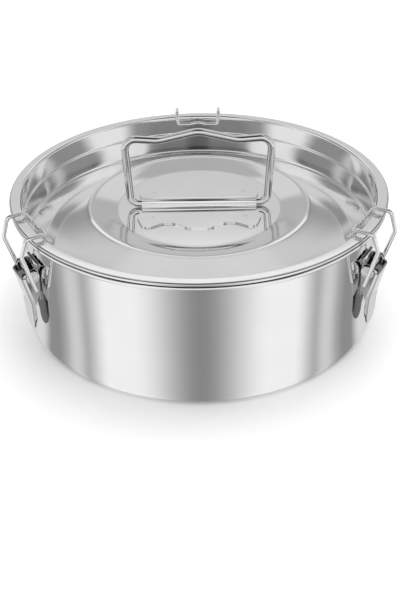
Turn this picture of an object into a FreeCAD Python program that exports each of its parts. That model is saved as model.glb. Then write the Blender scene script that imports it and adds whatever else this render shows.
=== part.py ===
"""Round steel flan mould: a pan, a recessed lid with a folding bail handle, and three toggle latches.

The origin is the centre of the pan's flat underside. +Z is up and the back latch stands on +Y.
Every latch is drawn in a frame of its own, with +X running out of the pan, and is then turned about +Z.
"""
import FreeCAD, Part
import math
import os
import re

import Sketcher
from FreeCAD import Placement, Rotation, Vector

Z_AXIS = Vector(0, 0, 1)
# How near two lengths must be to count as the same, in millimetres
TOUCH = 0.01
# The share by which a swept wire may differ from its length times its section
SWEEP_SHARE = 0.01
# The numbers of a drawn curve's own points
START, END, CENTRE = 1, 2, 3

# Driving dimensions in millimetres and degrees
SIZES = {
    # Pan: straight wall, rolled bead
    "pan_wall_radius": 96.0,
    "pan_height": 69.0,
    "pan_sheet": 0.8,
    "pan_base_round": 4.7,
    "bead_width": 4.0,
    "bead_height": 2.6,
    "bead_round": 1.2,
    "bead_return": 2.7,
    "lip_round": 1.1,
    # Lid: hemmed flange, stepped wall, domed floor, sunk middle
    "lid_sheet": 0.7,
    "lid_fit_gap": 0.3,
    "hem_height": 2.0,
    "hem_return": 2.6,
    "hem_round": 0.9,
    "flange_round": 1.4,
    "wall_taper": 0.6,
    "ledge_depth": 10.9,
    "ledge_width": 0.9,
    "ledge_drop": 0.4,
    "ledge_round": 0.8,
    "recess_depth": 24.2,
    "recess_taper": 0.2,
    "foot_round": 2.2,
    "dome_radius": 76.0,
    "dome_depth": 17.0,
    "dome_round": 120.0,
    "crest_radius": 59.0,
    "crest_depth": 10.8,
    "crest_round": 3.5,
    "disc_radius": 45.5,
    "disc_depth": 14.0,
    "disc_round": 3.0,
    # Handle bail and its strap
    "handle_wire": 4.0,
    "handle_height": 38.0,
    "handle_foot_width": 73.5,
    "handle_top_width": 78.0,
    "handle_foot_bend": 4.5,
    "handle_top_bend": 6.0,
    "handle_peak": 3.6,
    "handle_dip": 1.4,
    "handle_dip_place": 21.0,
    "handle_wave_bend": 14.0,
    "handle_end_gap": 1.0,
    "handle_lift": 0.3,
    "handle_running_gap": 0.08,
    "strap_sheet": 0.9,
    "strap_length": 61.6,
    "strap_foot_round": 1.2,
    "strap_neck": 4.6,
    "strap_shoulder": 13.5,
    "strap_half_length": 32.8,
    "strap_lobe_place": 29.0,
    "strap_lobe_reach": 26.6,
    "strap_notch_place": 16.0,
    "strap_notch_reach": 18.2,
    "strap_middle_place": 6.5,
    "strap_middle_reach": 25.4,
    "strap_corner_round": 4.0,
    "strap_wave_round": 7.0,
    "weld_round": 1.3,
    "weld_depth": 0.15,
    "weld_place": 24.5,
    "weld_reach": 14.5,
    # Latch: pivots, both measured from the pan
    "pivot_offset": 3.4,
    "pivot_drop": 20.4,
    "toggle_length": 7.8,
    "toggle_inset": 0.6,
    "pivot_running_gap": 0.05,
    # Latch bracket
    "bracket_sheet": 0.8,
    "bracket_half_width": 6.8,
    "bracket_top": 6.0,
    "bracket_foot": 15.0,
    "ear_round": 3.0,
    "ear_root_rise": 4.0,
    "ear_root_fall": 5.0,
    # Latch rivet
    "rivet_shank": 2.8,
    "rivet_head": 6.4,
    "rivet_head_height": 0.9,
    "rivet_rim_width": 0.9,
    "rivet_rim_round": 0.42,
    "rivet_dish_depth": 0.5,
    "side_play": 0.1,
    # Latch lever
    "lever_sheet": 0.9,
    "lever_half_width": 7.9,
    "lever_bend": 2.0,
    "lever_margin": 6.0,
    "lobe_round": 3.4,
    "toggle_lobe_round": 2.4,
    "web_reach": 5.51,
    "web_top_fall": 0.8,
    "knee_reach": 1.5,
    "knee_fall": 16.9,
    "knee_round": 12.0,
    "tip_reach": 0.6,
    "tip_fall": 33.6,
    "rim_depth": 1.6,
    "leaf_fall": 24.0,
    "leaf_round": 6.0,
    "leaf_tip_half": 3.4,
    "leaf_tip_round": 4.8,
    # Latch wire
    "latch_wire": 2.2,
    "wire_side_gap": 0.2,
    "wire_tail": 1.0,
    "wire_tail_bend": 1.7,
    "wire_knee_reach": 5.4,
    "wire_knee_drop": 7.4,
    "wire_knee_half": 12.4,
    "wire_knee_bend": 5.0,
    "wire_crest_reach": 2.4,
    "wire_crest_rise": 2.0,
    "wire_crest_half": 13.0,
    "wire_crest_bend": 2.6,
    "wire_hook_reach": 6.4,
    "wire_hook_rise": 2.3,
    "wire_hook_bend": 2.2,
    "wire_bar_reach": 10.3,
    "wire_bar_drop": 3.7,
    "wire_bar_half": 12.3,
    "wire_bar_bend": 2.2,
    "wire_kink": 1.1,
    "wire_kink_place": 5.0,
    "wire_kink_bend": 6.0,
    # Least flat left beside a full round
    "corner_flat": 0.01,
}

# The latches' places round the rim, in degrees from +X
LATCHES = {"latch_back": 90.0, "latch_left": 210.0, "latch_right": 330.0}

document = FreeCAD.newDocument("flan_mould")
sheet = document.addObject("Spreadsheet::Sheet", "Sizes")
for row, (size_name, size_value) in enumerate(SIZES.items(), start=1):
    sheet.set(f"A{row}", size_name)
    sheet.set(f"B{row}", str(size_value))
    sheet.setAlias(f"B{row}", size_name)
document.recompute()


def formula(text):
    """Turns a formula over size names into an expression that reads the sheet."""
    return re.sub(r"[a-z_]{3,}", lambda word: f"Sizes.{word[0]}" if word[0] in SIZES else word[0], str(text))


def value(text):
    """The present value of a formula over size names."""
    result = sheet.evalExpression(formula(text))
    return float(getattr(result, "Value", result))


# Heights and radii that several pieces share, as formulas
RIM = "(pan_wall_radius + bead_width)"
LID_TOP = "(pan_height + hem_height)"
PAN_INSIDE = "(pan_wall_radius - pan_sheet)"
LID_WALL = f"({PAN_INSIDE} - lid_fit_gap - lid_sheet)"
DISC_TOP = f"({LID_TOP} - disc_depth)"
HINGE = f"({DISC_TOP} + handle_lift + handle_wire / 2)"
TUNNEL = "(handle_wire / 2 + handle_running_gap)"
PIVOT_X = "(pan_wall_radius + pivot_offset)"
PIVOT_Z = "(pan_height - pivot_drop)"
TOGGLE_X = f"({PIVOT_X} - toggle_inset)"
TOGGLE_Z = f"({PIVOT_Z} - toggle_length)"
RIVET_HOLE = "(rivet_shank / 2 + pivot_running_gap)"
WIRE_HOLE = "(latch_wire / 2 + pivot_running_gap)"
WIRE_FOOT_HALF = "(lever_half_width + side_play + rivet_head_height + latch_wire / 2 + wire_side_gap)"


def round_corner(before, corner, after, radius):
    """Where an arc of this radius leaves and meets the two runs of a corner, with the arc's centre."""
    to_before = (before - corner).normalize()
    to_after = (after - corner).normalize()
    half = to_before.getAngle(to_after) / 2
    start = corner + to_before * (radius / math.tan(half))
    end = corner + to_after * (radius / math.tan(half))
    centre = corner + (to_before + to_after).normalize() * (radius / math.sin(half))
    return start, end, centre


def rounded_outline(sketch, corners, closed=True):
    """Draws straight runs joined by tangent arcs. A corner is two formulas for its place and one for a radius."""
    points = [Vector(value(across), value(up), 0) for across, up, _ in corners]
    count = len(points)
    turned = range(count) if closed else range(1, count - 1)
    rounded = [i in turned and corners[i][2] is not None for i in range(count)]
    starts = list(points)
    ends = list(points)
    arcs = {}
    for i in range(count):
        if rounded[i]:
            before = points[i - 1]
            after = points[(i + 1) % count]
            radius = value(corners[i][2])
            starts[i], ends[i], centre = round_corner(before, points[i], after, radius)
            turns_left = (points[i] - before).cross(after - points[i]).z > 0
            arcs[i] = (centre, radius, turns_left)
    runs = []
    for i in range(count if closed else count - 1):
        runs.append(sketch.addGeometry(Part.LineSegment(ends[i], starts[(i + 1) % count])))
    for i in range(count):
        previous_run = runs[i - 1] if closed or i > 0 else None
        next_run = runs[i] if i < len(runs) else None
        if rounded[i]:
            place = draw_arc(sketch, starts[i], ends[i], arcs[i], previous_run, next_run, points[i])
            radius_constraint, corner_point = place
            bind(sketch, radius_constraint, corners[i][2])
            locate(sketch, corner_point, START, points[i], corners[i])
        elif previous_run is not None and next_run is not None:
            sketch.addConstraint(Sketcher.Constraint("Coincident", previous_run, END, next_run, START))
            locate(sketch, next_run, START, points[i], corners[i])
        elif next_run is not None:
            locate(sketch, next_run, START, points[i], corners[i])
        else:
            locate(sketch, previous_run, END, points[i], corners[i])


def draw_arc(sketch, start, end, arc, previous_run, next_run, corner):
    """Adds one tangent arc and the point where its two runs would cross."""
    centre, radius, turns_left = arc
    first, last = (start, end) if turns_left else (end, start)
    first_angle = math.atan2(first.y - centre.y, first.x - centre.x)
    last_angle = math.atan2(last.y - centre.y, last.x - centre.x)
    circle = Part.Circle(centre, Z_AXIS, radius)
    curve = sketch.addGeometry(Part.ArcOfCircle(circle, first_angle, last_angle))
    at_start, at_end = (START, END) if turns_left else (END, START)
    point = sketch.addGeometry(Part.Point(corner), True)
    sketch.addConstraint(Sketcher.Constraint("Tangent", previous_run, END, curve, at_start))
    sketch.addConstraint(Sketcher.Constraint("Tangent", curve, at_end, next_run, START))
    sketch.addConstraint(Sketcher.Constraint("PointOnObject", point, START, previous_run))
    sketch.addConstraint(Sketcher.Constraint("PointOnObject", point, START, next_run))
    return sketch.addConstraint(Sketcher.Constraint("Radius", curve, radius)), point


def bind(sketch, constraint, text):
    """Ties a dimension of a sketch to a formula over the sheet."""
    sketch.setExpression(f"Constraints[{constraint}]", formula(text))


def locate(sketch, geometry, position, point, corner):
    """Places a point of a sketch by two formulas."""
    across = sketch.addConstraint(Sketcher.Constraint("DistanceX", -1, 1, geometry, position, point.x))
    up = sketch.addConstraint(Sketcher.Constraint("DistanceY", -1, 1, geometry, position, point.y))
    bind(sketch, across, corner[0])
    bind(sketch, up, corner[1])


def circle_outline(sketch, across, up, radius):
    """Draws a circle placed and sized by formulas."""
    centre = Vector(value(across), value(up), 0)
    curve = sketch.addGeometry(Part.Circle(centre, Z_AXIS, value(radius)))
    bind(sketch, sketch.addConstraint(Sketcher.Constraint("Radius", curve, value(radius))), radius)
    locate(sketch, curve, CENTRE, centre, (across, up))


def new_body(label, placement=None):
    """A solid with a label of its own, built up from sketches."""
    body = document.addObject("PartDesign::Body", label)
    body.Label = label
    if placement is not None:
        body.Placement = placement
    return body


def origin_plane(body, role):
    """The body's own origin plane of this role."""
    return next(feature for feature in body.Origin.OriginFeatures if feature.Role == role)


def flat_sketch(body, name, role, lift=None, shift=None):
    """A sketch on one of the body's origin planes, lifted off it and shifted across it by formulas."""
    sketch = body.newObject("Sketcher::SketchObject", f"{body.Name}_{name}")
    sketch.AttachmentSupport = [(origin_plane(body, role), "")]
    sketch.MapMode = "FlatFace"
    if lift is not None:
        sketch.setExpression("AttachmentOffset.Base.z", formula(lift))
    if shift is not None:
        sketch.setExpression("AttachmentOffset.Base.x", formula(shift))
    return sketch


def pad(body, sketch, length, midplane=False):
    """Adds material over a sketch."""
    feature = body.newObject("PartDesign::Pad", f"{sketch.Name}_pad")
    feature.Profile = sketch
    feature.Midplane = midplane
    feature.setExpression("Length", formula(length))
    document.recompute()
    return feature


def pocket(body, sketch, length, midplane=False):
    """Cuts a sketch out of the body over a length, and proves that it cut."""
    before = body.Shape.Volume
    feature = body.newObject("PartDesign::Pocket", f"{sketch.Name}_pocket")
    feature.Profile = sketch
    feature.Midplane = midplane
    feature.setExpression("Length", formula(length))
    document.recompute()
    if body.Shape.Volume >= before:
        raise RuntimeError(f"{feature.Name} cut nothing")
    return feature


def round_edges(body, name, radius, chosen):
    """Fillets the edges of the tip that the test chooses."""
    tip = body.Tip
    edges = [f"Edge{i}" for i, edge in enumerate(tip.Shape.Edges, start=1) if chosen(edge)]
    if not edges:
        raise RuntimeError(f"{body.Label} has no edge for {name}")
    feature = body.newObject("PartDesign::Fillet", f"{body.Name}_{name}")
    feature.Base = (tip, edges)
    feature.setExpression("Radius", formula(radius))
    document.recompute()
    return feature


def spun_sheet(label, corners, offset):
    """A spun sheet: a line of its section, thickened to one side by the offset and turned about the axis."""
    line = document.addObject("Sketcher::SketchObject", f"{label}_line")
    line.Placement = Placement(Vector(), Rotation(Vector(1, 0, 0), 90))
    rounded_outline(line, corners, closed=False)
    strip = document.addObject("Part::Offset2D", f"{label}_strip")
    strip.Source = line
    # The first choice of each list: a skin along the line, with arcs at its corners
    strip.Mode = 0
    strip.Join = 0
    strip.Fill = True
    strip.setExpression("Value", formula(offset))
    spun = document.addObject("Part::Revolution", label)
    spun.Source = strip
    spun.Axis = Z_AXIS
    spun.Angle = 360
    spun.Solid = True
    spun.Label = label
    document.recompute()
    if abs(spun.Shape.optimalBoundingBox(False).XMax - value(RIM)) > TOUCH:
        raise RuntimeError(f"{label} was thickened to the wrong side")
    return spun


def bent_path(points, radii):
    """A wire of straight runs joined by tangent arcs."""
    edges = []
    here = points[0]
    for before, corner, after, radius in zip(points, points[1:], points[2:], radii):
        start, end, centre = round_corner(before, corner, after, radius)
        middle = centre + (corner - centre).normalize() * radius
        edges.append(Part.LineSegment(here, start).toShape())
        edges.append(Part.Arc(start, middle, end).toShape())
        here = end
    edges.append(Part.LineSegment(here, points[-1]).toShape())
    return Part.Wire(edges)


def bent_wire(label, points, radii, diameter, placement=None):
    """A round wire bent along runs and arcs, swept from a circle that is tied to the sheet."""
    path = document.addObject("Part::Feature", f"{label}_path")
    path.Shape = bent_path(points, radii)
    section = document.addObject("Part::Circle", f"{label}_section")
    section.setExpression("Radius", formula(f"{diameter} / 2"))
    section.Placement = Placement(points[0], Rotation(Z_AXIS, points[1] - points[0]))
    wire = document.addObject("Part::Sweep", label)
    wire.Sections = [section]
    wire.Spine = (path, [f"Edge{i + 1}" for i in range(len(path.Shape.Edges))])
    wire.Solid = True
    wire.Frenet = False
    wire.Label = label
    if placement is not None:
        wire.Placement = placement
    document.recompute()
    swept = math.pi * value(f"{diameter} / 2") ** 2 * path.Shape.Length
    if abs(wire.Shape.Volume / swept - 1) > SWEEP_SHARE:
        raise RuntimeError(f"{label} has {wire.Shape.Volume:.1f} mm3 where its wire has {swept:.1f}")
    return wire


def make_pan():
    """Drawn pan: flat base, straight wall and a rolled bead that carries the lid."""
    corners = [
        ("0", "pan_sheet", None),
        (PAN_INSIDE, "pan_sheet", "pan_base_round"),
        (PAN_INSIDE, "pan_height", "lip_round"),
        (RIM, "pan_height", "bead_round"),
        (RIM, "pan_height - bead_height", "bead_round"),
        (f"{RIM} - bead_return", "pan_height - bead_height", None),
    ]
    return spun_sheet("pan_body", corners, "-pan_sheet")


def make_lid():
    """Spun lid: hemmed flange on the bead, stepped wall down to the foot, dome, crest ring and sunk disc."""
    corners = [
        (f"{RIM} - hem_return", "pan_height", None),
        (RIM, "pan_height", "hem_round"),
        (RIM, LID_TOP, "hem_round"),
        (LID_WALL, LID_TOP, "flange_round"),
        (f"{LID_WALL} - wall_taper", f"{LID_TOP} - ledge_depth", "ledge_round"),
        (f"{LID_WALL} - wall_taper - ledge_width", f"{LID_TOP} - ledge_depth - ledge_drop", "ledge_round"),
        (f"{LID_WALL} - wall_taper - ledge_width - recess_taper", f"{LID_TOP} - recess_depth", "foot_round"),
        ("dome_radius", f"{LID_TOP} - dome_depth", "dome_round"),
        ("crest_radius", f"{LID_TOP} - crest_depth", "crest_round"),
        ("disc_radius", DISC_TOP, "disc_round"),
        ("0", DISC_TOP, None),
    ]
    return spun_sheet("lid", corners, "lid_sheet")


def strap_corners():
    """One quarter of the strap's waved outline, from its neck at the hinge line to its middle lobe."""
    return [
        ("strap_length / 2", "strap_neck", "strap_foot_round"),
        ("strap_half_length", "strap_shoulder", "strap_corner_round"),
        ("strap_lobe_place", "strap_lobe_reach", "strap_corner_round"),
        ("strap_notch_place", "strap_notch_reach", "strap_wave_round"),
        ("strap_middle_place", "strap_middle_reach", "strap_wave_round"),
    ]


def make_strap():
    """Pressed strap: a waved plate with a raised channel across it, which the bail's foot turns in."""
    body = new_body("handle_strap")
    plate = flat_sketch(body, "plate", "XY_Plane", DISC_TOP)
    quarter = strap_corners()
    corners = list(quarter)
    corners += [(f"-{x}", y, r) for x, y, r in reversed(quarter)]
    corners += [(f"-{x}", f"-{y}", r) for x, y, r in quarter]
    corners += [(x, f"-{y}", r) for x, y, r in reversed(quarter)]
    rounded_outline(plate, corners)
    pad(body, plate, "strap_sheet")

    arch = flat_sketch(body, "arch", "YZ_Plane")
    half = f"({TUNNEL} + strap_sheet)"
    rounded_outline(arch, [
        (f"-{half}", DISC_TOP, None),
        (half, DISC_TOP, None),
        (half, f"{HINGE} + {half}", f"{half} - corner_flat"),
        (f"-{half}", f"{HINGE} + {half}", f"{half} - corner_flat"),
    ])
    pad(body, arch, "strap_length", midplane=True)

    foot_x = value("strap_length / 2")
    plate_top = value(f"{DISC_TOP} + strap_sheet")
    foot_y = value(half)

    def is_foot(edge):
        middle = edge.CenterOfMass
        along_x = abs(edge.Vertexes[0].X - edge.Vertexes[-1].X) > foot_x
        return along_x and abs(middle.z - plate_top) < TOUCH and abs(abs(middle.y) - foot_y) < TOUCH

    round_edges(body, "foot", "strap_foot_round", is_foot)

    tunnel = flat_sketch(body, "tunnel", "YZ_Plane")
    rounded_outline(tunnel, [
        (f"-{TUNNEL}", f"{DISC_TOP} - strap_sheet", None),
        (TUNNEL, f"{DISC_TOP} - strap_sheet", None),
        (TUNNEL, f"{HINGE} + {TUNNEL}", f"{TUNNEL} - corner_flat"),
        (f"-{TUNNEL}", f"{HINGE} + {TUNNEL}", f"{TUNNEL} - corner_flat"),
    ])
    pocket(body, tunnel, "strap_length + 2 * handle_wire", midplane=True)

    welds = flat_sketch(body, "welds", "XY_Plane", f"{DISC_TOP} + strap_sheet")
    for across in ("weld_place", "-weld_place"):
        for up in ("weld_reach", "-weld_reach"):
            circle_outline(welds, across, up, "weld_round")
    pocket(body, welds, "weld_depth")
    return body


def make_handle():
    """Bent wire bail: its foot lies in the strap's channel and its top bar rises to a peak."""
    hinge = value(HINGE)
    top = hinge + value("handle_height")
    foot = value("handle_foot_width") / 2
    shoulder = value("handle_top_width") / 2
    dip_place = value("handle_dip_place")
    half = [
        (value("handle_end_gap") / 2, hinge, None),
        (foot, hinge, value("handle_foot_bend")),
        (shoulder, top, value("handle_top_bend")),
        (dip_place, top - value("handle_dip"), value("handle_wave_bend")),
        (0.0, top + value("handle_peak"), value("handle_wave_bend")),
    ]
    right = [Vector(x, 0, z) for x, z, _ in half]
    left = [Vector(-x, 0, z) for x, z, _ in reversed(half[:-1])]
    radii = [r for _, _, r in half[1:]] + [r for _, _, r in reversed(half[1:-1])]
    return bent_wire("handle_bail", right + left, radii, "handle_wire")


def make_bracket(label, placement):
    """Spot-welded bracket: a curved plate on the wall with two ears that hold the rivet."""
    body = new_body(f"{label}_bracket", placement)
    reach = value("bracket_half_width")
    inner = value("pan_wall_radius")
    plate = flat_sketch(body, "plate", "XY_Plane", f"{PIVOT_Z} - bracket_foot")
    plate_outline(plate, inner, inner + value("bracket_sheet"), reach)
    pad(body, plate, "bracket_foot + bracket_top")

    root = "(pan_wall_radius + bracket_sheet / 4)"
    for side, sign in (("near", "-"), ("far", "")):
        middle = f"{sign}(bracket_half_width - bracket_sheet / 2)"
        ear = flat_sketch(body, f"{side}_ear", "XZ_Plane", f"0 - {middle} - bracket_sheet / 2")
        rounded_outline(ear, [
            (root, f"{PIVOT_Z} + ear_root_rise", None),
            (root, f"{PIVOT_Z} - ear_root_fall", None),
            (f"{PIVOT_X} + ear_round", f"{PIVOT_Z} - ear_round", "ear_round - corner_flat"),
            (f"{PIVOT_X} + ear_round", f"{PIVOT_Z} + ear_round", "ear_round - corner_flat"),
        ])
        pad(body, ear, "bracket_sheet")
    holes = flat_sketch(body, "holes", "XZ_Plane")
    circle_outline(holes, PIVOT_X, PIVOT_Z, RIVET_HOLE)
    pocket(body, holes, "4 * bracket_half_width", midplane=True)
    return body


def plate_outline(sketch, inner, outer, reach):
    """A strip of the ring between two radii, as wide as the reach to both sides."""
    inner_angle = math.asin(reach / inner)
    outer_angle = math.asin(reach / outer)
    inner_circle = Part.Circle(Vector(), Z_AXIS, inner)
    outer_circle = Part.Circle(Vector(), Z_AXIS, outer)
    inside = sketch.addGeometry(Part.ArcOfCircle(inner_circle, -inner_angle, inner_angle))
    outside = sketch.addGeometry(Part.ArcOfCircle(outer_circle, -outer_angle, outer_angle))
    ends = []
    for position, sign in ((1, -1), (2, 1)):
        start = Vector(inner * math.cos(inner_angle), sign * reach, 0)
        end = Vector(outer * math.cos(outer_angle), sign * reach, 0)
        run = sketch.addGeometry(Part.LineSegment(start, end))
        sketch.addConstraint(Sketcher.Constraint("Coincident", inside, position, run, 1))
        sketch.addConstraint(Sketcher.Constraint("Coincident", outside, position, run, 2))
        sketch.addConstraint(Sketcher.Constraint("Horizontal", run))
        ends.append(run)
    for curve in (inside, outside):
        sketch.addConstraint(Sketcher.Constraint("Coincident", curve, CENTRE, -1, START))
    inner_radius = sketch.addConstraint(Sketcher.Constraint("Radius", inside, inner))
    outer_radius = sketch.addConstraint(Sketcher.Constraint("Radius", outside, outer))
    low = sketch.addConstraint(Sketcher.Constraint("DistanceY", -1, 1, ends[0], 1, -reach))
    high = sketch.addConstraint(Sketcher.Constraint("DistanceY", -1, 1, ends[1], 1, reach))
    bind(sketch, inner_radius, "pan_wall_radius")
    bind(sketch, outer_radius, "pan_wall_radius + bracket_sheet")
    bind(sketch, low, "-bracket_half_width")
    bind(sketch, high, "bracket_half_width")


def make_rivet(label, placement):
    """The lever's pivot: a shank with two dished heads, turned about its own line across the latch."""
    body = new_body(f"{label}_rivet", placement)
    section = flat_sketch(body, "section", "XY_Plane", PIVOT_Z, PIVOT_X)
    grip = "(lever_half_width + side_play)"
    end = f"({grip} + rivet_head_height)"
    floor = f"({end} - rivet_dish_depth)"
    shank = "(rivet_shank / 2)"
    head = "(rivet_head / 2)"
    dish = f"({head} - rivet_rim_width)"
    half = [
        (shank, grip, None),
        (head, grip, None),
        (head, end, "rivet_rim_round"),
        (dish, end, "rivet_rim_round"),
        (dish, floor, None),
        ("0", floor, None),
    ]
    rounded_outline(section, [(x, f"-{y}", r) for x, y, r in reversed(half)] + half)
    turned = body.newObject("PartDesign::Revolution", f"{body.Name}_turned")
    turned.Profile = section
    turned.ReferenceAxis = (section, ["V_Axis"])
    turned.Angle = 360
    document.recompute()
    return body


def lever_face(inset):
    """The outer face of the lever from the side, from its top edge over the knee to the tongue's tip."""
    top_reach = "(web_reach + (web_reach - knee_reach) * lever_margin / knee_fall)"
    return [
        (f"{PIVOT_X} + {top_reach} - {inset}", f"{PIVOT_Z} + lever_margin", None),
        (f"{PIVOT_X} + knee_reach - {inset}", f"{PIVOT_Z} - knee_fall", "knee_round"),
        (f"{PIVOT_X} + tip_reach - {inset}", f"{PIVOT_Z} - tip_fall", None),
    ]


def make_lever(label, placement):
    """Pressed lever: two cheeks on the rivet, a sloping web between them and a tongue to lift."""
    body = new_body(f"{label}_lever", placement)
    back = f"{PIVOT_X} - 2 * lever_margin"
    block = flat_sketch(body, "block", "XZ_Plane")
    rounded_outline(block, lever_face("0") + [
        (back, f"{PIVOT_Z} - tip_fall", None),
        (back, f"{PIVOT_Z} + lever_margin", None),
    ])
    pad(body, block, "2 * lever_half_width", midplane=True)
    pivot = value(PIVOT_X)
    sheet_width = value("lever_sheet")

    def runs_down(edge, half_width):
        beside = abs(abs(edge.CenterOfMass.y) - half_width) < TOUCH
        return beside and min(vertex.X for vertex in edge.Vertexes) > pivot - sheet_width

    outer = value("lever_half_width")
    inner = outer - sheet_width
    round_edges(body, "outer_bend", "lever_bend", lambda edge: runs_down(edge, outer))
    hollow = flat_sketch(body, "hollow", "XZ_Plane")
    rounded_outline(hollow, lever_face("lever_sheet") + [
        (back, f"{PIVOT_Z} - tip_fall", None),
        (back, f"{PIVOT_Z} + lever_margin", None),
    ])
    pocket(body, hollow, "2 * (lever_half_width - lever_sheet)", midplane=True)
    round_edges(body, "inner_bend", "lever_bend - lever_sheet", lambda edge: runs_down(edge, inner))

    far = f"({PIVOT_X} + 2 * lever_margin)"
    low = f"({PIVOT_Z} - 2 * tip_fall)"
    high = f"({PIVOT_Z} + 2 * lever_margin)"
    side = flat_sketch(body, "side", "XZ_Plane")
    rounded_outline(side, [
        ("0", f"{high} + lever_margin", None),
        (f"{far} + lever_margin", f"{high} + lever_margin", None),
        (f"{far} + lever_margin", f"{low} - lever_margin", None),
        ("0", f"{low} - lever_margin", None),
    ])
    rounded_outline(side, [
        (f"{PIVOT_X} - lobe_round", f"{PIVOT_Z} + lobe_round", "lobe_round - corner_flat"),
        (f"{PIVOT_X} + web_reach", f"{PIVOT_Z} - web_top_fall", None),
        (far, f"{PIVOT_Z} - web_top_fall", None),
        (far, low, None),
        (f"{PIVOT_X} + tip_reach - rim_depth", low, None),
        (f"{PIVOT_X} + knee_reach - rim_depth", f"{PIVOT_Z} - knee_fall", None),
        (f"{TOGGLE_X} - toggle_lobe_round", f"{TOGGLE_Z} - toggle_lobe_round",
         "toggle_lobe_round - corner_flat"),
    ])
    pocket(body, side, "4 * lever_half_width", midplane=True)

    leaf = flat_sketch(body, "leaf", "YZ_Plane")
    wide = "(3 * lever_half_width)"
    rounded_outline(leaf, [
        (f"-{wide}", high, None),
        (wide, high, None),
        (wide, low, None),
        (f"-{wide}", low, None),
    ])
    kept = [
        ("lever_half_width + side_play", f"{PIVOT_Z} + lever_margin", None),
        ("lever_half_width + side_play", f"{PIVOT_Z} - leaf_fall", "leaf_round"),
        ("leaf_tip_half", f"{PIVOT_Z} - tip_fall", "leaf_tip_round"),
    ]
    rounded_outline(leaf, kept + [(f"-({x})", y, r) for x, y, r in reversed(kept)])
    pocket(body, leaf, f"4 * {PIVOT_X}", midplane=True)

    holes = flat_sketch(body, "holes", "XZ_Plane")
    circle_outline(holes, PIVOT_X, PIVOT_Z, RIVET_HOLE)
    circle_outline(holes, TOGGLE_X, TOGGLE_Z, WIRE_HOLE)
    pocket(body, holes, "4 * lever_half_width", midplane=True)
    return body


def make_latch_wire(label, placement):
    """Bent wire of a latch: it hooks over the lid's flange and its two tails turn in the lever's cheeks."""
    rim = value(RIM)
    flange = value(LID_TOP)
    toggle_x = value(TOGGLE_X)
    toggle_z = value(TOGGLE_Z)
    foot_half = value(WIRE_FOOT_HALF)
    tail_half = value("lever_half_width - lever_sheet - wire_tail")
    half = [
        (toggle_x, tail_half, toggle_z, None),
        (toggle_x, foot_half, toggle_z, value("wire_tail_bend")),
        (rim + value("wire_knee_reach"), value("wire_knee_half"), flange - value("wire_knee_drop"),
         value("wire_knee_bend")),
        (rim + value("wire_crest_reach"), value("wire_crest_half"), flange + value("wire_crest_rise"),
         value("wire_crest_bend")),
        (rim - value("wire_hook_reach"), value("wire_crest_half"), flange + value("wire_hook_rise"),
         value("wire_hook_bend")),
        (rim - value("wire_bar_reach"), value("wire_bar_half"), flange - value("wire_bar_drop"),
         value("wire_bar_bend")),
        (rim - value("wire_bar_reach"), value("wire_kink_place"), flange - value("wire_bar_drop"),
         value("wire_kink_bend")),
        (rim - value("wire_bar_reach"), 0.0, flange - value("wire_bar_drop") + value("wire_kink"),
         value("wire_kink_bend")),
    ]
    left = [Vector(x, y, z) for x, y, z, _ in half]
    right = [Vector(x, -y, z) for x, y, z, _ in reversed(half[:-1])]
    radii = [r for _, _, _, r in half[1:]] + [r for _, _, _, r in reversed(half[1:-1])]
    return bent_wire(f"{label}_wire", left + right, radii, "latch_wire", placement)


pieces = [make_pan(), make_lid(), make_strap(), make_handle()]
for latch_name, angle in LATCHES.items():
    turn = Placement(Vector(), Rotation(Z_AXIS, angle))
    for make_piece in (make_bracket, make_rivet, make_lever, make_latch_wire):
        pieces.append(make_piece(latch_name, turn))
document.recompute()

for item in document.Objects:
    if "Invalid" in item.State or "Error" in item.State:
        raise RuntimeError(f"{item.Name} failed: {item.State}")
for piece in pieces:
    if piece.Shape.isNull() or not piece.Shape.isValid():
        raise RuntimeError(f"{piece.Label} has no valid shape")

os.makedirs("parts", exist_ok=True)
for piece in pieces:
    piece.Shape.exportStep(f"parts/{piece.Label}.step")
    print(f"{piece.Label}: {piece.Shape.Volume:.1f} mm3, {len(piece.Shape.Solids)} solid")
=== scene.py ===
"""Polished stainless steel flan mould on a pale studio floor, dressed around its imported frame."""
import math

import bmesh
import bpy
from mathutils import Matrix, Vector


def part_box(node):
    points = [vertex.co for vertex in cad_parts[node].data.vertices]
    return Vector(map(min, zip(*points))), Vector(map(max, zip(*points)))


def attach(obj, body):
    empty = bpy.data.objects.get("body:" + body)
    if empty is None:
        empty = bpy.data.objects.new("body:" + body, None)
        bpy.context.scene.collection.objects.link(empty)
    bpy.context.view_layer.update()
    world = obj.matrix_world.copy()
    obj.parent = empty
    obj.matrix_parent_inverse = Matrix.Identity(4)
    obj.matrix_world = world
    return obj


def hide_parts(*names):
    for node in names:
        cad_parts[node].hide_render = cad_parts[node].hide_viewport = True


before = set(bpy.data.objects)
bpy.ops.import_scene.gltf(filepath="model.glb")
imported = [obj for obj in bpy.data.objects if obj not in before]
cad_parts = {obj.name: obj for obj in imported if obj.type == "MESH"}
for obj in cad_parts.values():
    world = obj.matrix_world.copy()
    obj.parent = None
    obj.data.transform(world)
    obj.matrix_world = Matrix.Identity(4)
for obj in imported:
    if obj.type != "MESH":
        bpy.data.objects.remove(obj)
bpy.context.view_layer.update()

MM = 0.001
WHITE = (1.0, 1.0, 1.0, 1.0)
SCENE = bpy.context.scene


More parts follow.
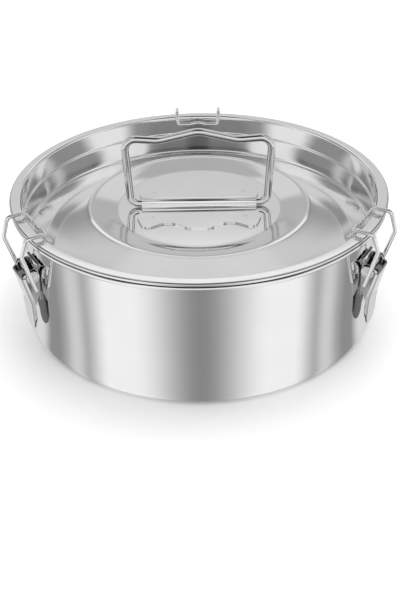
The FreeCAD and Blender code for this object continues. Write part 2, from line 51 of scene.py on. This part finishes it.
class Graph:
    """A shader's node tree whose values are joined by small formulas."""

    def __init__(self, tree):
        self.tree = tree
        tree.nodes.clear()

    def node(self, kind, **settings):
        """Adds a node and sets its properties."""
        made = self.tree.nodes.new(kind)
        for name, setting in settings.items():
            setattr(made, name, setting)
        return made

    def link(self, source, target):
        """Feeds a socket from another socket, or sets it to a plain number or colour."""
        if isinstance(source, (int, float, tuple)):
            target.default_value = source
        else:
            self.tree.links.new(source, target)

    def math(self, operation, *values):
        """One step of arithmetic."""
        made = self.node("ShaderNodeMath", operation=operation)
        for value, socket in zip(values, made.inputs):
            self.link(value, socket)
        return made.outputs[0]

    def step(self, value, low, high, start=0.0, end=1.0):
        """A smooth change from start to end while the value goes from low to high."""
        made = self.node("ShaderNodeMapRange", interpolation_type="SMOOTHSTEP", clamp=True)
        names = ("Value", "From Min", "From Max", "To Min", "To Max")
        for number, name in zip((value, low, high, start, end), names):
            self.link(number, made.inputs[name])
        return made.outputs[0]

    def band(self, value, middle, half_width, soft):
        """One inside a band around the middle, nought outside it, with soft edges."""
        away = self.math("ABSOLUTE", self.math("SUBTRACT", value, middle))
        return self.step(away, half_width - soft, half_width + soft, 1.0, 0.0)

    def between(self, value, low, high, soft):
        """One from low to high, nought outside them, with soft edges."""
        above = self.step(value, low - soft, low + soft)
        below = self.step(value, high - soft, high + soft, 1.0, 0.0)
        return self.math("MULTIPLY", above, below)

    def blend(self, share, first, second):
        """A mix of two numbers."""
        made = self.node("ShaderNodeMix", data_type="FLOAT")
        self.link(share, made.inputs[0])
        self.link(first, made.inputs[2])
        self.link(second, made.inputs[3])
        return made.outputs[0]

    def grey(self, value):
        """A number as a colour."""
        made = self.node("ShaderNodeCombineColor")
        for socket in made.inputs:
            self.link(value, socket)
        return made.outputs[0]

    def join(self, x, y):
        """A flat vector from two numbers."""
        made = self.node("ShaderNodeCombineXYZ")
        self.link(x, made.inputs[0])
        self.link(y, made.inputs[1])
        return made.outputs[0]

    def split(self, vector):
        """The three parts of a vector."""
        made = self.node("ShaderNodeSeparateXYZ")
        self.link(vector, made.inputs[0])
        return made.outputs

    def noise(self, place, scale, detail):
        """Cloudy noise from nought to one."""
        made = self.node("ShaderNodeTexNoise", noise_dimensions="3D")
        self.link(place, made.inputs["Vector"])
        self.link(scale, made.inputs["Scale"])
        self.link(detail, made.inputs["Detail"])
        return made.outputs["Fac"]

    def bearing(self, vector):
        """The angle round +Z in degrees from -Y, either way, and the height of a vector."""
        x, y, z = self.split(vector)
        angle = self.math("ABSOLUTE", self.math("ARCTAN2", x, self.math("MULTIPLY", y, -1.0)))
        return self.math("MULTIPLY", angle, math.degrees(1.0)), z

    def finish(self, kind, shader):
        """Ends the tree in its output node."""
        self.link(shader, self.node(kind).inputs["Surface"])


# What polished metal sees round it. A card has its bearing in degrees from the front, half width and
# softness, then the heights of a unit vector where it starts and ends, the softness there, and its
# brightness. Later cards lie over earlier ones.
ROOM_LEVEL = 0.25
ALL_ROUND = (90.0, 100.0, 1.0)
ABOVE_HORIZON = (0.3, 2.0, 0.04)
ROOM_CARDS = (
    ((83.0, 18.0, 8.0), ABOVE_HORIZON, 1.0),
    ((68.0, 11.0, 5.0), (0.86, 2.0, 0.02), 1.0),
    ((117.0, 13.0, 5.0), (0.79, 2.0, 0.02), 0.15),
    ((142.0, 5.0, 5.0), ABOVE_HORIZON, 0.6),
    ((180.0, 18.0, 5.0), ABOVE_HORIZON, 0.68),
    ((180.0, 24.0, 6.0), (0.5, 0.7, 0.025), 1.0),
    ((150.0, 24.0, 8.0), (0.82, 2.0, 0.03), 0.66),
    ((180.0, 32.0, 8.0), (0.72, 2.0, 0.02), 0.66),
    ((0.0, 48.0, 8.0), (0.76, 2.0, 0.03), 0.16),
    ((0.0, 12.0, 4.0), (0.76, 2.0, 0.03), 0.05),
    (ALL_ROUND, (0.965, 2.0, 0.015), 0.08),
    (ALL_ROUND, (-1.0, 0.3, 0.04), 0.75),
    ((0.0, 40.0, 8.0), (-1.0, 0.7, 0.03), 1.0),
)


def add_cards(graph, bearing, height, level, cards):
    """Soft cards laid over a level, each limited to a range of heights."""
    for across, upward, brightness in cards:
        share = graph.math("MULTIPLY", graph.band(bearing, *across), graph.between(height, *upward))
        level = graph.blend(share, level, brightness)
    return level


def make_world():
    """White to the camera, soft cards round a darker room to the metal, and an even glow to the rest."""
    world = bpy.data.worlds.new("studio")
    SCENE.world = world
    world.use_nodes = True
    graph = Graph(world.node_tree)
    bearing, height = graph.bearing(graph.node("ShaderNodeTexCoord").outputs["Generated"])
    seen_by_metal = add_cards(graph, bearing, height, ROOM_LEVEL, ROOM_CARDS)
    path = graph.node("ShaderNodeLightPath")
    strength = graph.blend(path.outputs["Is Glossy Ray"], 1.0, seen_by_metal)
    strength = graph.blend(path.outputs["Is Camera Ray"], strength, 1.0)
    background = graph.node("ShaderNodeBackground")
    graph.link(WHITE, background.inputs["Color"])
    graph.link(strength, background.inputs["Strength"])
    graph.finish("ShaderNodeOutputWorld", background.outputs[0])


FLOOR_HALF = 6.0
FLOOR_COLOUR = (0.93, 0.93, 0.93, 1.0)
# The floor's glow in the metal, by the angle on the pan's wall that mirrors each place to the front. The
# rise has the degrees where it starts and ends, then the brightness there. A band has its middle, half
# width, softness and brightness, and later bands lie over earlier ones.
FLOOR_RISE = (0.0, 20.0, 0.28, 1.0)
FLOOR_BANDS = (
    (52.0, 20.0, 4.5, 0.46),
    (40.5, 3.0, 2.5, 0.68),
    (52.0, 5.0, 3.0, 0.3),
    (64.0, 6.0, 4.0, 0.75),
)
# The bearing of a place is its wall angle times the spread, less the start over the distance, in metres
FLOOR_SPREAD = 2.27
FLOOR_START = 0.122
# Beyond what the wall mirrors the floor is bright: the distances where that starts and is full, in metres,
# and how much they draw in with the squared bearing
FLOOR_FAR = (0.2, 0.26)
FLOOR_FAR_BEND = 2.4e-6
# How the brightness out there rises with the bearing, and how its share fades towards the back
FLOOR_FAR_GLOW = (4.0, 24.0, 0.5, 1.0)
FLOOR_FAR_FADE = (95.0, 125.0, 1.0, 0.0)


def floor_glow(graph, place):
    """The floor's brightness as the metal sees it, in soft bands round the object."""
    bearing, _ = graph.bearing(place)
    length = graph.node("ShaderNodeVectorMath", operation="LENGTH")
    graph.link(place, length.inputs[0])
    distance = length.outputs["Value"]
    spread_here = graph.math("SUBTRACT", FLOOR_SPREAD, graph.math("DIVIDE", FLOOR_START, distance))
    angle = graph.math("DIVIDE", bearing, graph.math("MAXIMUM", spread_here, 1.0))
    glow = graph.step(angle, *FLOOR_RISE)
    for middle, half_width, soft, brightness in FLOOR_BANDS:
        glow = graph.blend(graph.band(angle, middle, half_width, soft), glow, brightness)
    bend = graph.math("MULTIPLY", graph.math("POWER", bearing, 2.0), FLOOR_FAR_BEND)
    far = graph.step(graph.math("ADD", distance, bend), *FLOOR_FAR)
    far = graph.math("MULTIPLY", far, graph.step(bearing, *FLOOR_FAR_FADE))
    return graph.blend(far, glow, graph.step(bearing, *FLOOR_FAR_GLOW))


def make_floor():
    """A pale floor with the object's shadow, which the metal sees as glowing."""
    mesh = bpy.data.meshes.new("floor")
    corners = [(x * FLOOR_HALF, y * FLOOR_HALF, 0) for x, y in ((-1, -1), (1, -1), (1, 1), (-1, 1))]
    mesh.from_pydata(corners, [], [(0, 1, 2, 3)])
    floor = bpy.data.objects.new("floor", mesh)
    SCENE.collection.objects.link(floor)
    material = bpy.data.materials.new("pale_floor")
    material.use_nodes = True
    graph = Graph(material.node_tree)
    emission = graph.node("ShaderNodeEmission")
    glow = floor_glow(graph, graph.node("ShaderNodeNewGeometry").outputs["Position"])
    graph.link(glow, emission.inputs["Strength"])
    matt = graph.node("ShaderNodeBsdfDiffuse")
    graph.link(FLOOR_COLOUR, matt.inputs["Color"])
    mixed = graph.node("ShaderNodeMixShader")
    graph.link(graph.node("ShaderNodeLightPath").outputs["Is Glossy Ray"], mixed.inputs[0])
    graph.link(matt.outputs[0], mixed.inputs[1])
    graph.link(emission.outputs[0], mixed.inputs[2])
    graph.finish("ShaderNodeOutputMaterial", mixed.outputs[0])
    mesh.materials.append(material)


LAMP_PLACE = (0.2, 0.3, 1.6)
LAMP_SIZE = 1.6
LAMP_WATTS = 14.0


def make_lamp():
    """A square softbox aimed at the object, which is seen only as light and not in the metal."""
    data = bpy.data.lights.new("overhead", "AREA")
    data.shape = "SQUARE"
    data.size = LAMP_SIZE
    data.energy = LAMP_WATTS
    lamp = bpy.data.objects.new("overhead", data)
    lamp.location = LAMP_PLACE
    lamp.rotation_mode = "QUATERNION"
    lamp.rotation_quaternion = (-Vector(LAMP_PLACE)).to_track_quat("-Z", "Y")
    lamp.visible_glossy = False
    SCENE.collection.objects.link(lamp)


# The photograph's camera, as fitted to the rim's ellipse in its 400 by 600 frame
FRAME_HIGH = 600
FRAME_MIDDLE = (200.0, 300.0)
PRINCIPAL = (198.75, 182.7)
FOCAL_PIXELS = 915.5
CAMERA_ELEVATION = math.radians(26.35)
CAMERA_DISTANCE = 0.490
CAMERA_ROLL = math.radians(0.87)
CAMERA_NEAREST = 0.01
SENSOR = 36.0
FLANGE_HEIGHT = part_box("lid")[1].z


def make_camera():
    """Looks at the middle of the lid's flange from the front, with the photograph's shift of the frame."""
    data = bpy.data.cameras.new("camera")
    data.sensor_width = SENSOR
    data.lens = FOCAL_PIXELS * SENSOR / FRAME_HIGH
    data.shift_x = (FRAME_MIDDLE[0] - PRINCIPAL[0]) / FRAME_HIGH
    data.shift_y = (PRINCIPAL[1] - FRAME_MIDDLE[1]) / FRAME_HIGH
    data.clip_start = CAMERA_NEAREST
    camera = bpy.data.objects.new("camera", data)
    SCENE.collection.objects.link(camera)
    along = math.cos(CAMERA_ELEVATION)
    rise = math.sin(CAMERA_ELEVATION)
    right = Vector((1, 0, 0))
    up = Vector((0, rise, along))
    turned_right = right * math.cos(CAMERA_ROLL) - up * math.sin(CAMERA_ROLL)
    turned_up = right * math.sin(CAMERA_ROLL) + up * math.cos(CAMERA_ROLL)
    back = Vector((0, -along, rise))
    axes = Matrix((turned_right, turned_up, back)).transposed()
    place = back * CAMERA_DISTANCE + Vector((0, 0, FLANGE_HEIGHT))
    camera.matrix_world = Matrix.Translation(place) @ axes.to_4x4()
    SCENE.camera = camera


# How finely curves are divided: the angle between the points of an arc, a finer one for the lid, the steps
# round the axis, and the sides of a latch's and the handle's wire
ARC_STEP = math.radians(6)
LID_ARC_STEP = math.radians(3)
ROUND_STEPS = 360
WIRE_SIDES = 28
BAIL_SIDES = 40
# The longest straight run on the section of the pan and of the lid
PAN_RUN = 4 * MM
LID_RUN = 3 * MM
# The sharpest mitre of an offset line, the angle up to which faces are shaded smooth, and the radius that
# counts as on the axis
SHARPEST_MITRE = 0.3
SMOOTH_ANGLE = math.radians(40)
ON_AXIS = 1e-7


def rounded_line(corners, step=ARC_STEP):
    """Points along straight runs joined by tangent arcs. A corner is its point and its radius."""
    points = [corners[0][0]]
    for (before, _), (corner, radius), (after, _) in zip(corners, corners[1:], corners[2:]):
        to_before = (before - corner).normalized()
        to_after = (after - corner).normalized()
        half = to_before.angle(to_after) / 2
        centre = corner + (to_before + to_after).normalized() * (radius / math.sin(half))
        start = corner + to_before * (radius / math.tan(half)) - centre
        end = corner + to_after * (radius / math.tan(half)) - centre
        sweep = start.angle(end)
        count = max(2, math.ceil(sweep / step))
        for i in range(count + 1):
            share = i / count
            turned = start * math.sin((1 - share) * sweep) + end * math.sin(share * sweep)
            points.append(centre + turned / math.sin(sweep))
    points.append(corners[-1][0])
    return points


def spread(points, longest):
    """Divides the long runs of a line, so that the surface made from it has even faces."""
    result = [points[0]]
    for before, after in zip(points, points[1:]):
        count = max(1, math.ceil((after - before).length / longest))
        result += [before.lerp(after, i / count) for i in range(1, count + 1)]
    return result


def beside(points, distance):
    """The same line moved to its left by a distance."""
    result = []
    for i, point in enumerate(points):
        before = points[max(0, i - 1)]
        after = points[min(len(points) - 1, i + 1)]
        first = (point - before).normalized() if i else (after - point).normalized()
        last = (after - point).normalized() if i < len(points) - 1 else first
        way = (first + last).normalized()
        stretch = distance / max(SHARPEST_MITRE, way.dot(first))
        result.append(point + Vector((-way.y, way.x)) * stretch)
    return result


def new_piece(name, verts, faces):
    """A closed mesh object whose faces look outward, with smooth shading."""
    mesh = bpy.data.meshes.new(name)
    mesh.from_pydata(verts, [], faces)
    mesh.validate()
    piece = bpy.data.objects.new(name, mesh)
    SCENE.collection.objects.link(piece)
    mesh.polygons.foreach_set("use_smooth", [True] * len(mesh.polygons))
    mesh.set_sharp_from_angle(angle=SMOOTH_ANGLE)
    mesh.update()
    edit = bmesh.new()
    edit.from_mesh(mesh)
    bmesh.ops.recalc_face_normals(edit, faces=edit.faces)
    edit.to_mesh(mesh)
    edit.free()
    return piece


def spun(name, line, thickness):
    """A spun sheet: one side of its section, thickened to its left and turned about the axis."""
    loop = line + list(reversed(beside(line, thickness)))
    verts = []
    rings = []
    for point in loop:
        if abs(point.x) < ON_AXIS:
            rings.append([len(verts)])
            verts.append((0.0, 0.0, point.y))
            continue
        rings.append(list(range(len(verts), len(verts) + ROUND_STEPS)))
        for i in range(ROUND_STEPS):
            angle = 2 * math.pi * i / ROUND_STEPS
            verts.append((point.x * math.cos(angle), point.x * math.sin(angle), point.y))
    faces = []
    for ring, following in zip(rings, rings[1:] + rings[:1]):
        if len(ring) == 1 and len(following) == 1:
            continue
        for i in range(ROUND_STEPS):
            j = (i + 1) % ROUND_STEPS
            if len(ring) == 1:
                faces.append((ring[0], following[i], following[j]))
            elif len(following) == 1:
                faces.append((ring[i], following[0], ring[j]))
            else:
                faces.append((ring[i], following[i], following[j], ring[j]))
    return new_piece(name, verts, faces)


def tube(name, path, radius, sides):
    """A round wire along a path, with flat ends."""
    verts = []
    normal = (path[1] - path[0]).orthogonal().normalized()
    for i, place in enumerate(path):
        before = path[max(0, i - 1)]
        after = path[min(len(path) - 1, i + 1)]
        way = (after - before).normalized()
        normal = (normal - way * normal.dot(way)).normalized()
        side = way.cross(normal)
        for k in range(sides):
            angle = 2 * math.pi * k / sides
            verts.append(place + (normal * math.cos(angle) + side * math.sin(angle)) * radius)
    faces = []
    for first in range(0, len(verts) - sides, sides):
        for k in range(sides):
            m = (k + 1) % sides
            faces.append((first + k, first + m, first + sides + m, first + sides + k))
    faces += [tuple(range(sides)), tuple(range(len(verts) - sides, len(verts)))]
    return new_piece(name, verts, faces)


# The steel's slight unevenness: the scale and detail of its patches, then the noise values from which and up
# to which their factor changes, and that factor's two ends
PATCHES = (55.0, 4.0)
PATCH_GREY = (0.25, 0.75, 0.985, 1.015)
PATCH_ROUGHNESS = (0.3, 0.7, 0.8, 1.25)
# Its fine marks
MARK_SCALE = 900.0
MARK_DETAIL = 2.0
MARK_DEPTH = 0.02 * MM
# A face looks outward by 1 and inward by -1, and turns from the inner grey, a painted shade, to the outer
# grey between these
INNER_SHADE_TO_OUTER = (-0.2, 0.7)


def steel(name, grey, roughness, scratch, scratch_scale=MARK_SCALE, rings=False, zones=(), painted_inner_shade=None):
    """Polished stainless steel with spinning lines or plain scuffs, and a slight unevenness.

    A zone is a ring with its own grey, roughness and metal share, used both for finishes and for painted
    shade: the radii where it starts and ends and the softness there, its lowest and highest height and the
    softness there, all in metres, then its grey, roughness and metal share. The inner grey is painted shade,
    darker on the faces that look towards the mould's axis or along the wall.
    """
    material = bpy.data.materials.new(name)
    material.use_nodes = True
    graph = Graph(material.node_tree)
    coordinates = graph.node("ShaderNodeTexCoord")
    place = coordinates.outputs["Object"]
    x, y, z = graph.split(place)
    radius = graph.math("SQRT", graph.math("ADD", graph.math("POWER", x, 2.0), graph.math("POWER", y, 2.0)))
    metal = 1.0
    for across, upward, (zone_grey, zone_roughness, zone_metal) in zones:
        inside = graph.math("MULTIPLY", graph.between(radius, *across), graph.between(z, *upward))
        grey = graph.blend(inside, grey, zone_grey)
        roughness = graph.blend(inside, roughness, zone_roughness)
        metal = graph.blend(inside, metal, zone_metal)
    # Painted shade: faces that turn away from the outside get the darker inner grey
    if painted_inner_shade is not None:
        facing = graph.node("ShaderNodeVectorMath", operation="DOT_PRODUCT")
        graph.link(graph.join(x, y), facing.inputs[0])
        graph.link(coordinates.outputs["Normal"], facing.inputs[1])
        outward = graph.math("DIVIDE", facing.outputs["Value"], radius)
        grey = graph.step(outward, *INNER_SHADE_TO_OUTER, painted_inner_shade, grey)
    patches = graph.noise(place, *PATCHES)
    marks = graph.node("ShaderNodeBump")
    graph.link(scratch, marks.inputs["Strength"])
    graph.link(MARK_DEPTH, marks.inputs["Distance"])
    mark_place = graph.join(radius, z) if rings else place
    graph.link(graph.noise(mark_place, scratch_scale, MARK_DETAIL), marks.inputs["Height"])
    shader = graph.node("ShaderNodeBsdfPrincipled")
    shade = graph.math("MULTIPLY", graph.step(patches, *PATCH_GREY), grey)
    rough = graph.math("MULTIPLY", graph.step(patches, *PATCH_ROUGHNESS), roughness)
    graph.link(graph.grey(shade), shader.inputs["Base Color"])
    graph.link(rough, shader.inputs["Roughness"])
    graph.link(metal, shader.inputs["Metallic"])
    graph.link(marks.outputs["Normal"], shader.inputs["Normal"])
    graph.finish("ShaderNodeOutputMaterial", shader.outputs[0])
    return material


def ring_zone(radii, heights, finish):
    """A zone of the steel, from millimetres."""
    return tuple(r * MM for r in radii), tuple(h * MM for h in heights), finish


# Painted shade on the pan: a dark band under its bead, and a dark line in the groove between the bead and
# the lid's hem
PAN_PAINTED_SHADE_ZONES = (
    ring_zone((97.0, 110.0, 0.1), (60.0, 66.9, 0.12), (0.22, 0.3, 1.0)),
    ring_zone((98.6, 110.0, 0.1), (68.55, 69.5, 0.12), (0.16, 0.3, 1.0)),
)
# The lid's trough, dome and the darker slope inside its crest, then painted shade in its groove to the bead
# and a painted dark reflection along the top of the hem's edge
LID_FINISH_AND_PAINTED_SHADE_ZONES = (
    ring_zone((60.0, 94.0, 1.0), (0.0, 48.2, 0.2), (0.88, 0.10, 0.9)),
    ring_zone((60.0, 88.0, 1.0), (0.0, 62.0, 0.2), (0.88, 0.10, 0.9)),
    ring_zone((43.8, 58.4, 0.6), (0.0, 62.0, 0.2), (0.62, 0.06, 1.0)),
    # Painted shade in the groove between the hem and the pan's bead
    ring_zone((98.6, 110.0, 0.1), (68.5, 69.4, 0.12), (0.16, 0.3, 1.0)),
    # A painted dark reflection along the top of the hem's rounded edge
    ring_zone((99.3, 110.0, 0.05), (70.45, 70.85, 0.1), (0.3, 0.1, 1.0)),
)
PAN_STEEL = steel("polished_pan", 0.86, 0.045, 0.05, 700.0, rings=True, zones=PAN_PAINTED_SHADE_ZONES)
LID_STEEL = steel("spun_lid", 0.84, 0.05, 0.06, rings=True, zones=LID_FINISH_AND_PAINTED_SHADE_ZONES)
STRAP_STEEL = steel("pressed_strap", 0.84, 0.08, 0.05)
BAIL_STEEL = steel("polished_bail", 0.7, 0.06, 0.05)
WIRE_STEEL = steel("polished_wire", 0.78, 0.05, 0.05)
# The latch's faces that look inward or along the wall get a dark painted shade
LATCH_STEEL = steel("pressed_latch", 0.76, 0.08, 0.1, 500.0, painted_inner_shade=0.18)
RIVET_STEEL = steel("rivet", 0.80, 0.08, 0.05)


# Sizes of the spun pieces, in millimetres
RIM = 100.0
PAN_SHEET = 0.8
PAN_WALL = 96.0
PAN_HIGH = 69.0
FOOT_ROUND = 4.7
MOUTH_ROUND = 1.1
BEAD_HIGH = 2.6
BEAD_DEEP = 2.7
BEAD_ROUND = 1.2
LID_SHEET = 0.7
LID_HIGH = 71.0
LID_GAP = 0.3
HEM_DEEP = 2.6
HEM_ROUND = 0.9
FLANGE_ROUND = 1.4
# The small ledge in the lid's wall and the trough at its foot: how far in from the wall's top, how far down
# from the flange, and round
LEDGE_TOP = (0.6, 10.9, 0.8)
LEDGE_FOOT = (1.5, 11.3, 0.8)
TROUGH = (1.7, 23.8, 1.0)
# The dome, the crest, the slope inside it and the disc's edge: radius, drop from the flange, and round
DOME = (76.0, 17.0, 120.0)
CREST = (58.4, 10.75, 8.0)
UPPER_SLOPE = (50.7, 12.42, 40.0)
LOWER_SLOPE = (47.5, 13.27, 60.0)
DISC_EDGE = (44.4, 14.0, 2.0)
DISC_DROP = DISC_EDGE[1]


def corner(*place, bend=None):
    """A corner of a line and its round, given in millimetres."""
    return Vector(place) * MM, bend and bend * MM


def make_pan():
    """The pan, spun from the middle of its floor to the end of its rolled bead."""
    inside = PAN_WALL - PAN_SHEET
    bead_foot = PAN_HIGH - BEAD_HIGH
    corners = [
        corner(0, PAN_SHEET),
        corner(inside, PAN_SHEET, bend=FOOT_ROUND),
        corner(inside, PAN_HIGH, bend=MOUTH_ROUND),
        corner(RIM, PAN_HIGH, bend=BEAD_ROUND),
        corner(RIM, bead_foot, bend=BEAD_ROUND),
        corner(RIM - BEAD_DEEP, bead_foot),
    ]
    pan = spun("pan", spread(rounded_line(corners), PAN_RUN), -PAN_SHEET * MM)
    pan.data.materials.append(PAN_STEEL)
    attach(pan, "pan")
    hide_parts("pan_body")


def make_lid():
    """The lid, spun from the end of its hem to the middle of its sunk disc."""
    wall = PAN_WALL - PAN_SHEET - LID_GAP - LID_SHEET
    corners = [
        corner(RIM - HEM_DEEP, PAN_HIGH),
        corner(RIM, PAN_HIGH, bend=HEM_ROUND),
        corner(RIM, LID_HIGH, bend=HEM_ROUND),
        corner(wall, LID_HIGH, bend=FLANGE_ROUND),
    ]
    for inward, drop, bend in (LEDGE_TOP, LEDGE_FOOT, TROUGH):
        corners.append(corner(wall - inward, LID_HIGH - drop, bend=bend))
    for radius, drop, bend in (DOME, CREST, UPPER_SLOPE, LOWER_SLOPE, DISC_EDGE):
        corners.append(corner(radius, LID_HIGH - drop, bend=bend))
    corners.append(corner(0, LID_HIGH - DISC_DROP))
    lid = spun("lid_spun", spread(rounded_line(corners, LID_ARC_STEP), LID_RUN), LID_SHEET * MM)
    lid.data.materials.append(LID_STEEL)
    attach(lid, "pan")
    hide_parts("lid")


def mirrored(half, flip):
    """A line of corners and its mirror image, joined at the last corner."""
    return half + [(place * flip, bend) for place, bend in reversed(half[:-1])]


# Sizes of the handle's wire, in millimetres
BAIL_WIRE = 4.0
BAIL_LIFT = 0.3
BAIL_HIGH = 38.0
BAIL_FOOT_WIDE = 73.5
BAIL_TOP_WIDE = 78.0
BAIL_FOOT_BEND = 4.5
BAIL_TOP_BEND = 6.0
BAIL_WAVE_BEND = 14.0
BAIL_PEAK = 3.6
BAIL_DIP = 1.4
BAIL_DIP_PLACE = 21.0
BAIL_END_GAP = 1.0


def make_bail():
    """The handle's wire: both ends meet in the strap's channel and the bar rises to a peak."""
    hinge = LID_HIGH - DISC_DROP + BAIL_LIFT + BAIL_WIRE / 2
    top = hinge + BAIL_HIGH
    half = [
        corner(BAIL_END_GAP / 2, 0, hinge),
        corner(BAIL_FOOT_WIDE / 2, 0, hinge, bend=BAIL_FOOT_BEND),
        corner(BAIL_TOP_WIDE / 2, 0, top, bend=BAIL_TOP_BEND),
        corner(BAIL_DIP_PLACE, 0, top - BAIL_DIP, bend=BAIL_WAVE_BEND),
        corner(0, 0, top + BAIL_PEAK, bend=BAIL_WAVE_BEND),
    ]
    path = rounded_line(mirrored(half, Vector((-1, 1, 1))))
    bail = tube("bail", path, BAIL_WIRE / 2 * MM, BAIL_SIDES)
    bail.data.materials.append(BAIL_STEEL)
    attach(bail, "handle")
    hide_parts("handle_bail")


# Sizes of a latch's wire, in millimetres. A place on it has its distance from the mould's axis, its half
# width and its height, and most are measured from the rim and the flange.
LATCH_TURNS = {"back": 90.0, "left": 210.0, "right": 330.0}
LATCH_WIRE = 2.2
TOGGLE = (98.8, 40.8)
TAIL_HALF = 6.0
FOOT_HALF = 10.2
TAIL_BEND = 1.7
KNEE_OUT = 5.4
KNEE_HALF = 12.4
KNEE_DOWN = 7.4
KNEE_BEND = 5.0
SHOULDER_OUT = 2.4
SHOULDER_HALF = 13.0
SHOULDER_UP = 2.0
SHOULDER_BEND = 2.6
HOOK_IN = 6.4
HOOK_UP = 2.3
HOOK_BEND = 2.2
BAR_IN = 10.3
BAR_HALF = 12.3
BAR_DOWN = 3.7
BAR_BEND = 2.2
KINK_HALF = 5.0
KINK_UP = 1.1
KINK_BEND = 6.0


def make_latch_wire(side, degrees):
    """A latch's wire: its tails turn in the lever, its knees lean out and its bar hooks over the flange."""
    toggle_out, toggle_high = TOGGLE
    bar_out = RIM - BAR_IN
    bar_high = LID_HIGH - BAR_DOWN
    half = [
        corner(toggle_out, TAIL_HALF, toggle_high),
        corner(toggle_out, FOOT_HALF, toggle_high, bend=TAIL_BEND),
        corner(RIM + KNEE_OUT, KNEE_HALF, LID_HIGH - KNEE_DOWN, bend=KNEE_BEND),
        corner(RIM + SHOULDER_OUT, SHOULDER_HALF, LID_HIGH + SHOULDER_UP, bend=SHOULDER_BEND),
        corner(RIM - HOOK_IN, SHOULDER_HALF, LID_HIGH + HOOK_UP, bend=HOOK_BEND),
        corner(bar_out, BAR_HALF, bar_high, bend=BAR_BEND),
        corner(bar_out, KINK_HALF, bar_high, bend=KINK_BEND),
        corner(bar_out, 0, bar_high + KINK_UP, bend=KINK_BEND),
    ]
    turn = Matrix.Rotation(math.radians(degrees), 3, "Z")
    path = [turn @ place for place in rounded_line(mirrored(half, Vector((1, -1, 1))))]
    wire = tube(f"{side}_hook", path, LATCH_WIRE / 2 * MM, WIRE_SIDES)
    wire.data.materials.append(WIRE_STEEL)
    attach(wire, f"{side}_wire")
    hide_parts(f"latch_{side}_wire")


# How far apart points are still welded, and the small rounds of the sheet's edges
WELD_REACH = 0.002 * MM
EDGE_ROUND = 0.18 * MM
EDGE_SEGMENTS = 2
EDGE_ANGLE = math.radians(35)


def dress(node, material):
    """Gives a CAD node its finish and fine rounded edges."""
    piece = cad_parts[node]
    piece.data.materials.clear()
    piece.data.materials.append(material)
    weld = piece.modifiers.new("weld", "WELD")
    weld.merge_threshold = WELD_REACH
    edges = piece.modifiers.new("edges", "BEVEL")
    edges.width = EDGE_ROUND
    edges.segments = EDGE_SEGMENTS
    edges.limit_method = "ANGLE"
    edges.angle_limit = EDGE_ANGLE
    edges.harden_normals = True


make_world()
make_floor()
make_lamp()
make_camera()
make_pan()
make_lid()
dress("handle_strap", STRAP_STEEL)
make_bail()
for latch_side, latch_turn in LATCH_TURNS.items():
    dress(f"latch_{latch_side}_bracket", LATCH_STEEL)
    dress(f"latch_{latch_side}_lever", LATCH_STEEL)
    dress(f"latch_{latch_side}_rivet", RIVET_STEEL)
    make_latch_wire(latch_side, latch_turn)

SCENE.view_settings.view_transform = "Standard"
